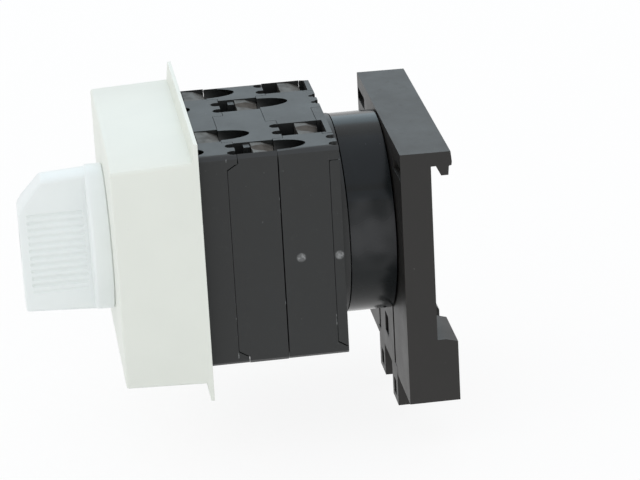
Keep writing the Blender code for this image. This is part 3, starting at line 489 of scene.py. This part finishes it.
for label, steps in (("chamber_front", wideSlots(2)), ("chamber_middle", ledges() + wideSlots(1)),
                     ("chamber_rear", squareCombs() + wideSlots(0)), ("end_plate", squareNotches())):
    softened(label, "frame", chamberPlastic, chamber["edge"], grow=chamber["grow"], steps=steps)
print("chambers done")

# wire clamps: the ramps start flush, and a groove for the screwdriver runs down them
clamp = {
    "edge": 0.08 * mm,
    "inner": (8.7 * mm, 6.76 * mm), "outer": (17.25 * mm, 6.06 * mm),  # middle and width
    "rampTop": 0.08 * mm, "rampBend": 0.18 * mm, "rampFoot": 0.95 * mm,
    "rampBack": 17.12 * mm, "rampSpan": (0.15 * mm, 4.46 * mm),
    "grooveRadius": 2.0 * mm, "grooveDepth": 2.6 * mm, "slant": 28.4,
    "colour": (0.112, 0.106, 0.098), "tarnish": (0.074, 0.070, 0.065), "patchSize": 2.2 * mm,
    "grainSize": 0.14 * mm, "grainDepth": 0.008, "roughness": 0.48, "roughSpread": 0.12,
}
clampMetal = stampedMetal("dull clamp plate", clamp)


def makeClamp(layer, side, end):
    label = ("rear", "middle", "front")[layer]
    sideSign = 1 if side == "right" else -1
    endSign = 1 if end == "top" else -1
    innerSide = 1 if layer % 2 == 0 else -1
    x, width = clamp["inner"] if sideSign == innerSide else clamp["outer"]
    x *= sideSign
    low, high = (seams[layer] + offset for offset in clamp["rampSpan"])
    drops = [(clamp["rampTop"], high), (clamp["rampBend"], (low + high) / 2), (clamp["rampFoot"], low)]
    section = [(stack["half"] - drop, z) for drop, z in drops]
    section += [(clamp["rampBack"], low), (clamp["rampBack"], high)]
    bm = bmesh.new()
    ends = [[bm.verts.new((x + s * width / 2, endSign * up, z)) for up, z in section] for s in (-1, 1)]
    bm.faces.new(ends[0])
    bm.faces.new(ends[1])
    for i in range(len(section)):
        j = (i + 1) % len(section)
        bm.faces.new((ends[0][i], ends[0][j], ends[1][j], ends[1][i]))
    ramp = solidObject("ramp", bm)
    slant = radians(clamp["slant"])
    way = Vector((0, endSign * sin(slant), cos(slant)))
    out = Vector((0, endSign * cos(slant), -sin(slant)))
    mouth = Vector((x, endSign * (stack["half"] - clamp["grooveDepth"]), low))
    radius = clamp["grooveRadius"]
    groove = rod(mouth + way * 3 * mm + out * radius, radius, 16 * mm, way, 64)
    name = f"terminal_{label}_{end}_{side}"
    softened(name, "frame", clampMetal, clamp["edge"], steps=[("UNION", ramp), ("DIFFERENCE", groove)])


for layerIndex in range(3):
    for sideName in ("right", "left"):
        for endName in ("top", "bottom"):
            makeClamp(layerIndex, sideName, endName)
print("clamps done")

# spacer
spacer = {
    "edge": 0.25 * mm,
    "colour": (0.0085, 0.0110, 0.0120), "mottle": 0.05, "mottleSize": 8 * mm,
    "roughness": 0.17, "roughSpread": 0.06, "rub": 0.05, "rubShade": 0.02,
    "grainSize": 0.5 * mm, "grainDepth": 0.001, "sinkDepth": 0.03,
    "dustSize": 0.8 * mm, "dust": 0.3, "dustColour": (0.12, 0.13, 0.14),
    # painted reflection: pale wavy patches are painted into the colour, while the waves themselves are bumps
    "paintedSheen": 0.8, "paintedSheenColour": (0.055, 0.056, 0.058), "paintedSheenSize": 7.5 * mm, "waveDepth": 0.9,
    "ior": 1.31, "glow": 0.0,
}
spacerPlastic = mouldedPlastic("glossy black moulding", spacer)
softened("spacer", "frame", spacerPlastic, spacer["edge"])
print("spacer done")

# rail adapter
adapter = {
    "edge": 0.16 * mm,
    "colour": (0.0120, 0.0108, 0.0095), "mottle": 0.08, "mottleSize": 6 * mm,
    "roughness": 0.46, "roughSpread": 0.16, "rub": 0.06, "rubShade": 0.03,
    "grainSize": 0.20 * mm, "grainDepth": 0.008, "sinkDepth": 0.04,
    "dustSize": 0.9 * mm, "dust": 0.4, "dustColour": (0.11, 0.105, 0.10),
    "ior": 1.5, "glow": 0.0,
}
adapterPlastic = mouldedPlastic("charcoal adapter moulding", adapter)
softened("rail_base", "frame", adapterPlastic, adapter["edge"])
softened("rail_latch", "latch", adapterPlastic, adapter["edge"])
print("rail adapter done")

# other metal parts and the inner mouldings
zinc = {
    "colour": (0.50, 0.49, 0.46), "tarnish": (0.34, 0.33, 0.30), "patchSize": 3 * mm,
    "grainSize": 0.12 * mm, "grainDepth": 0.006, "roughness": 0.36, "roughSpread": 0.2,
}
brass = {
    "colour": (0.72, 0.55, 0.28), "tarnish": (0.52, 0.36, 0.17), "patchSize": 3 * mm,
    "grainSize": 0.12 * mm, "grainDepth": 0.004, "roughness": 0.3, "roughSpread": 0.2,
}
inner = dict(
    adapter, colour=(0.56, 0.51, 0.41), mottle=0.03, dust=0.1, dustColour=(0.4, 0.37, 0.3), roughness=0.44,
)
zincPlate = stampedMetal("zinc plate", zinc)
brassSheet = stampedMetal("brass sheet", brass)
innerPlastic = mouldedPlastic("pale inner moulding", inner)
for name in nodes:
    if name.startswith(("tie_screw", "adapter_screw", "knob_screw", "drive_shaft")) or "spring" in name:
        dress(name, zincPlate)
    elif name.startswith("bridge_"):
        dress(name, brassSheet)
    elif name.startswith(("cam_", "plunger_", "detent_", "bearing_")):
        dress(name, innerPlastic)

# the latch spring stands on the adapter's post and rides with the frame, on a mesh of its own; the real spring is
# pressed together as the latch comes down
springShell = softened("latch_spring", "frame", zincPlate, 0)
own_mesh(springShell)
print("metal and inner parts done")

# floor, light and camera
stageLook = {
    "floor": (0.96, 0.96, 0.96), "floorZ": -40.9 * mm, "floorSize": 1.6, "floorLift": 0.88,
    "skyLight": 0.88, "background": 1.0,
    "topWatts": 0.35, "topColour": (0.36, 0.60, 1.0), "frontWatts": 0.2, "frontColour": (1.0, 1.0, 1.0),
    "farWatts": 0.42, "farColour": (0.45, 0.80, 1.0),
}


def plainlySeen(graph):  # 1 for what the eye, gloss and glass see
    rays = ("Is Camera Ray", "Is Glossy Ray", "Is Transmission Ray")
    eye, gloss, glass = (graph.node("LightPath", output=ray) for ray in rays)
    return eye | gloss | glass


def makeFloor():
    bm = bmesh.new()
    bmesh.ops.create_grid(bm, x_segments=1, y_segments=1, size=stageLook["floorSize"] / 2)
    floor = solidObject("floor", bm, stand=False)
    floor.location = (0, 0, stageLook["floorZ"])
    material, graph = newMaterial("pale floor")
    paper = graph.node("BsdfDiffuse", {}, {"Color": (*stageLook["floor"], 1)})
    lift = graph.node("Emission", {}, {"Color": (1, 1, 1, 1), "Strength": stageLook["background"]})
    share = plainlySeen(graph) * stageLook["floorLift"]
    surface = graph.node("MixShader", {}, {0: share, 1: paper, 2: lift})
    graph.node("OutputMaterial", {}, {"Surface": surface})
    floor.data.materials.append(material)


def makeWorld():
    world = bpy.data.worlds.new("studio")
    bpy.context.scene.world = world
    world.use_nodes = True
    world.node_tree.nodes.clear()
    graph = Sock(world.node_tree)
    light = graph.node("Background", {}, {"Color": (1, 1, 1, 1), "Strength": stageLook["skyLight"]})
    plain = graph.node("Background", {}, {"Color": (1, 1, 1, 1), "Strength": stageLook["background"]})
    sky = graph.node("MixShader", {}, {0: plainlySeen(graph), 1: light, 2: plain})
    graph.node("OutputWorld", {}, {"Surface": sky})


def softbox(name, place, aim, size, watts, colour):
    lamp = bpy.data.lights.new(name, "AREA")
    lamp.shape = "RECTANGLE"
    lamp.size, lamp.size_y = size
    lamp.energy = watts
    lamp.color = colour
    stand = bpy.data.objects.new(name, lamp)
    bpy.context.scene.collection.objects.link(stand)
    stand.location = place
    stand.rotation_euler = (Vector(aim) - Vector(place)).to_track_quat("-Z", "Y").to_euler()
    return stand


makeFloor()
makeWorld()
for label, place, aim, size in (("top", (0.05, -0.05, 0.55), (0, -0.035, 0), (0.7, 0.7)),
                                ("front", (0.25, -0.55, 0.25), (0, -0.035, 0), (0.4, 0.4)),
                                ("far", (-0.65, -0.05, 0.34), (0, -0.035, 0.01), (0.5, 0.35))):
    softbox(f"{label} box", place, aim, size, stageLook[f"{label}Watts"], stageLook[f"{label}Colour"])

view = bpy.data.cameras.new("photo view")
view.sensor_width = 36.0
view.lens = 163.646
view.shift_x = -0.008046
view.shift_y = -0.010449
view.clip_start, view.clip_end = 0.01, 10.0
tripod = bpy.data.objects.new("photo view", view)
bpy.context.scene.collection.objects.link(tripod)
tripod.location = (0.535139, -0.084735, 0.203100)
tripod.rotation_euler = Euler((radians(68.94967), radians(2.86045), radians(81.72966)))
bpy.context.scene.camera = tripod
bpy.context.scene.view_settings.view_transform = "Standard"
print("stage, light and camera done")
